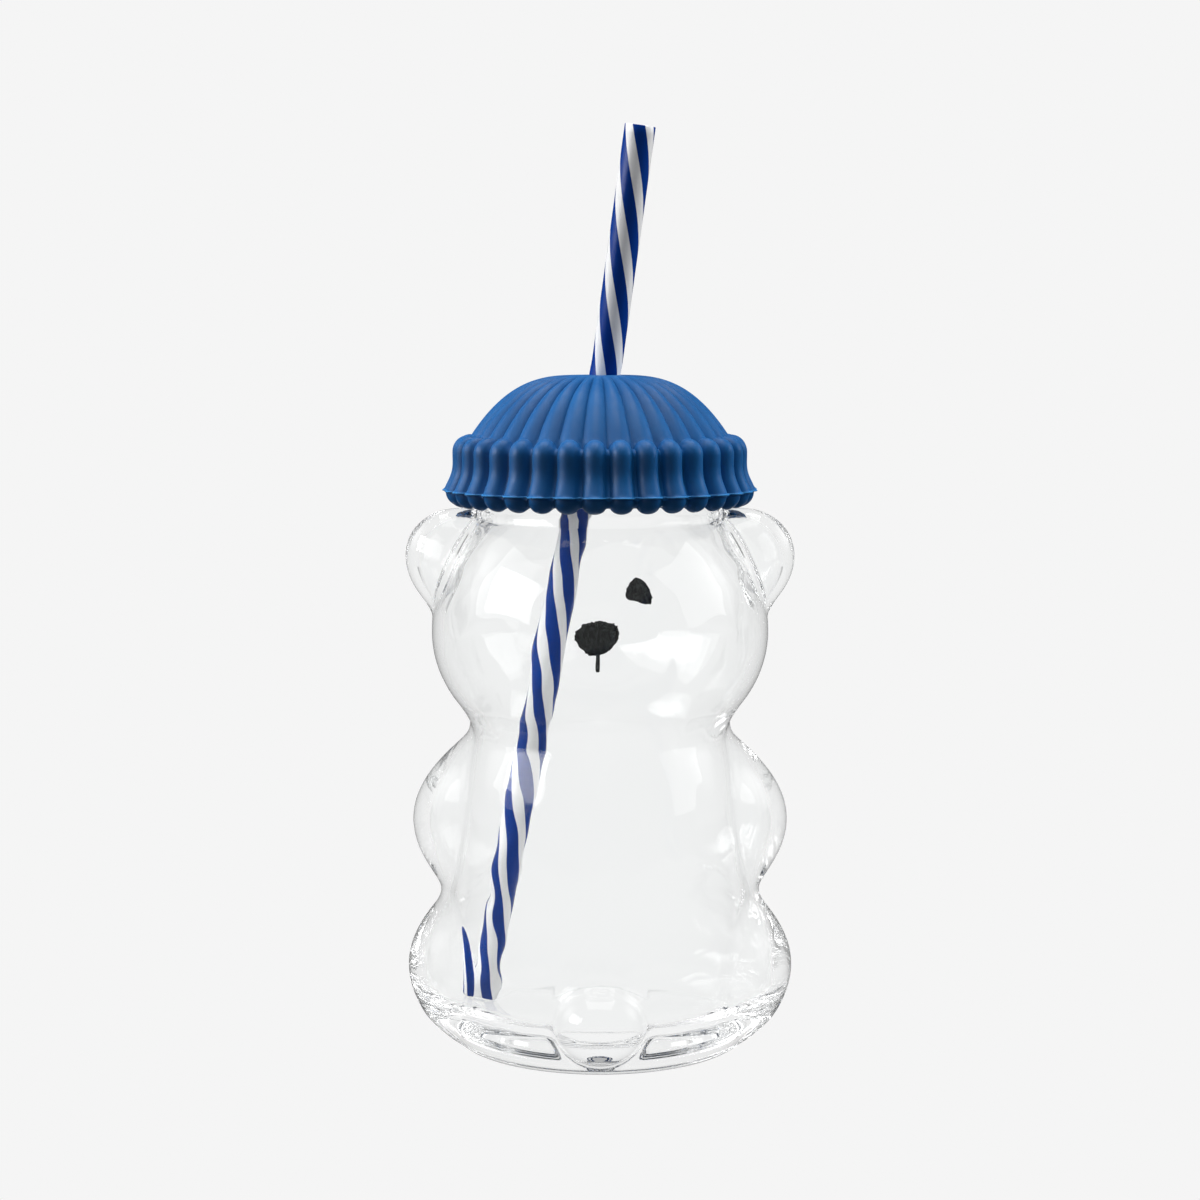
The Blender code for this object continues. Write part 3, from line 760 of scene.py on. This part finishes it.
BACKGROUND = 0.913
CAMERA_SIDE = 0.5
FAR_SIDE = 0.88
DIM_ROOM = 0.05
FILL_ROOM = 0.14
WINDOW_STRENGTH = 12
SOFT_BOX_STRENGTH = 7.2
TOP_BOX_STRENGTH = 5
SHEEN_STRENGTH = 4
THROUGH_STRENGTH = 4
BEHIND_RADIUS = 2.4
DIM_RADIUS = 2.6
FILL_RADIUS = 2.7
TABLE_RADIUS = 3
TABLE_DROP = 0.0002
CAMERA_SIDE_END = -0.2
FAR_SIDE_START = -0.05
WEDGE_START = -0.05
WEDGE_SLOPE = 0.84
WEDGE_SOFTNESS = 0.03
LIGHT_BOUNCES = 200
CAMERA_PLACE = Vector((0, -0.69654, 0.18717))
CAMERA_PITCH = radians(5.7)
FOCAL_PIXELS = 2671.76
PHOTO_PIXELS = 1200
GLASS_MIDDLE = Vector((0, 0, 0.1))

# Azimuth in degrees, height, distance, width and length of each card
CARDS = {
    "window": (112, 0.62, 1.2, 0.85, 0.55),
    "left_box": (80, 0.75, 1.3, 1.0, 1.0),
    "right_box": (-80, 0.75, 1.3, 0.85, 0.85),
    "top_box": (0, 1.4, 0.05, 1.2, 1.2),
    "left_sheen": (80, 0.75, 1.3, 1.2, 1.2),
    "right_sheen": (-80, 0.75, 1.3, 1.2, 1.2),
    "left_through": (100, 0.75, 1.3, 1.0, 1.0),
    "right_through": (-100, 0.75, 1.3, 1.0, 1.0),
}


def camera():
    lens = bpy.data.cameras.new("camera")
    lens.sensor_width = 36
    lens.lens = lens.sensor_width * FOCAL_PIXELS / PHOTO_PIXELS
    lens.clip_start = 0.01
    made = bpy.data.objects.new("camera", lens)
    made.location = CAMERA_PLACE
    made.rotation_euler = (pi / 2 - CAMERA_PITCH, 0, 0)
    bpy.context.scene.collection.objects.link(made)
    bpy.context.scene.camera = made


def glow(name, strength=1):
    """Material that only shines, in white."""
    made = bpy.data.materials.new(name)
    made.use_nodes = True
    nodes = made.node_tree.nodes
    nodes.clear()
    light = nodes.new("ShaderNodeEmission")
    light.inputs["Color"].default_value = (1, 1, 1, 1)
    light.inputs["Strength"].default_value = strength
    out = nodes.new("ShaderNodeOutputMaterial")
    made.node_tree.links.new(light.outputs["Emission"], out.inputs["Surface"])
    return made


def banded_glow(name, radius, bands):
    """Material of a shell, which shines by bands from the camera's side, -1, to the far side, 1."""
    made = glow(name)
    nodes, links = made.node_tree.nodes, made.node_tree.links
    place = nodes.new("ShaderNodeTexCoord")
    split = nodes.new("ShaderNodeSeparateXYZ")
    links.new(place.outputs["Object"], split.inputs["Vector"])
    share = nodes.new("ShaderNodeMapRange")
    share.inputs["From Min"].default_value = -radius
    share.inputs["From Max"].default_value = radius
    links.new(split.outputs["Y"], share.inputs["Value"])
    ramp = nodes.new("ShaderNodeValToRGB")
    elements = ramp.color_ramp.elements
    while len(elements) < len(bands):
        elements.new(0.5)
    for element, (side, value) in zip(elements, bands):
        element.position = (1 + side) / 2
        element.color = (value, value, value, 1)
    links.new(share.outputs["Result"], ramp.inputs["Fac"])
    links.new(ramp.outputs["Color"], nodes["Emission"].inputs["Color"])
    return made


def wedge_glow(name):
    """Material of a table that is bright in a wedge under and behind the glass, and dimmer elsewhere."""
    made = glow(name)
    nodes, links = made.node_tree.nodes, made.node_tree.links
    place = nodes.new("ShaderNodeTexCoord")
    split = nodes.new("ShaderNodeSeparateXYZ")
    links.new(place.outputs["Object"], split.inputs["Vector"])
    aside = nodes.new("ShaderNodeMath")
    aside.operation = "ABSOLUTE"
    links.new(split.outputs["X"], aside.inputs[0])
    depth = nodes.new("ShaderNodeMath")
    depth.operation = "MULTIPLY_ADD"
    depth.inputs[1].default_value = -WEDGE_SLOPE
    links.new(aside.outputs["Value"], depth.inputs[0])
    links.new(split.outputs["Y"], depth.inputs[2])
    shine = nodes.new("ShaderNodeMapRange")
    shine.inputs["From Min"].default_value = WEDGE_START - WEDGE_SOFTNESS
    shine.inputs["From Max"].default_value = WEDGE_START
    shine.inputs["To Min"].default_value = CAMERA_SIDE
    shine.inputs["To Max"].default_value = BACKGROUND
    links.new(depth.outputs["Value"], shine.inputs["Value"])
    links.new(shine.outputs["Result"], nodes["Emission"].inputs["Strength"])
    return made


def soft_glow(name, strength):
    """Material of a card that shines most in its middle."""
    made = glow(name, strength)
    nodes, links = made.node_tree.nodes, made.node_tree.links
    place = nodes.new("ShaderNodeTexCoord")
    away = nodes.new("ShaderNodeTexGradient")
    away.gradient_type = "SPHERICAL"
    doubled = nodes.new("ShaderNodeVectorMath")
    doubled.operation = "SCALE"
    doubled.inputs["Scale"].default_value = 2
    links.new(place.outputs["Object"], doubled.inputs["Vector"])
    links.new(doubled.outputs["Vector"], away.inputs["Vector"])
    scaled = nodes.new("ShaderNodeMath")
    scaled.operation = "MULTIPLY"
    scaled.inputs[1].default_value = strength
    links.new(away.outputs["Fac"], scaled.inputs[0])
    links.new(scaled.outputs["Value"], nodes["Emission"].inputs["Strength"])
    return made


def staged(name, bm, material, rays, location=(0, 0, 0), rotation=(0, 0, 0), scale=(1, 1, 1)):
    """Object of the stage, which only the named kinds of ray meet."""
    mesh = bpy.data.meshes.new(name)
    bm.to_mesh(mesh)
    bm.free()
    mesh.materials.append(material)
    made = bpy.data.objects.new(name, mesh)
    made.location = location
    made.rotation_euler = rotation
    made.scale = scale
    bpy.context.scene.collection.objects.link(made)
    for kind in ("camera", "diffuse", "glossy", "transmission", "shadow"):
        setattr(made, "visible_" + kind, kind in rays)


def card(name, material, rays):
    """Card that faces the glass. Azimuth 0 is behind the glass as photographed, and 90 is at its
    left."""
    azimuth, height, distance, width, length = CARDS[name]
    bm = bmesh.new()
    bmesh.ops.create_grid(bm, x_segments=1, y_segments=1, size=0.5)
    turn = radians(azimuth)
    location = Vector((-distance * sin(turn), distance * cos(turn), height))
    facing = (GLASS_MIDDLE - location).to_track_quat("Z", "Y").to_euler()
    staged(name, bm, material, rays, location, facing, (width, length, 1))


def shell(name, radius, material, rays):
    """Ball round the whole scene."""
    bm = bmesh.new()
    bmesh.ops.create_icosphere(bm, subdivisions=4, radius=radius)
    staged(name, bm, material, rays)


def table(name, material, rays):
    """Round table top just under the glass."""
    bm = bmesh.new()
    bmesh.ops.create_circle(bm, cap_ends=True, segments=96, radius=TABLE_RADIUS)
    staged(name, bm, material, rays, location=(0, 0, -TABLE_DROP))


def studio():
    """Pale room, dimmer on the camera's side, a floor of the same tone, a window and soft lights."""
    scene = bpy.context.scene
    scene.view_settings.view_transform = "Standard"
    for kind in ("max_bounces", "transmission_bounces", "glossy_bounces"):
        setattr(scene.cycles, kind, LIGHT_BOUNCES)
    world = bpy.data.worlds.new("pale_room")
    world.use_nodes = True
    world.node_tree.nodes["Background"].inputs["Color"].default_value = (1, 1, 1, 1)
    world.node_tree.nodes["Background"].inputs["Strength"].default_value = BACKGROUND
    scene.world = world
    table("floor", glow("pale_floor", BACKGROUND), ("camera",))
    table("lit_table", wedge_glow("lit_table"), ("transmission",))
    card("window", glow("window", WINDOW_STRENGTH), ("glossy", "transmission"))
    fill = glow("soft_box", SOFT_BOX_STRENGTH)
    card("left_box", fill, ("diffuse", "shadow"))
    card("right_box", fill, ("diffuse", "shadow"))
    card("top_box", glow("top_box", TOP_BOX_STRENGTH), ("diffuse", "glossy", "shadow"))
    sheen = soft_glow("sheen", SHEEN_STRENGTH)
    card("left_sheen", sheen, ("glossy",))
    card("right_sheen", sheen, ("glossy",))
    through = glow("through", THROUGH_STRENGTH)
    card("left_through", through, ("transmission",))
    card("right_through", through, ("transmission",))
    shell("dim_room", DIM_RADIUS, glow("dim_room", DIM_ROOM), ("glossy",))
    shell("fill_room", FILL_RADIUS, glow("fill_room", FILL_ROOM), ("diffuse", "shadow"))
    bands = ((-1, CAMERA_SIDE), (CAMERA_SIDE_END, CAMERA_SIDE), (FAR_SIDE_START, FAR_SIDE), (1, FAR_SIDE))
    behind = banded_glow("room_behind", BEHIND_RADIUS, bands)
    shell("room_behind", BEHIND_RADIUS, behind, ("transmission",))


jar = bear_jar(clear_glass())
face_prints(jar, dark_enamel())
beanie_lid(blue_rubber())
straw(striped_plastic())
studio()
camera()
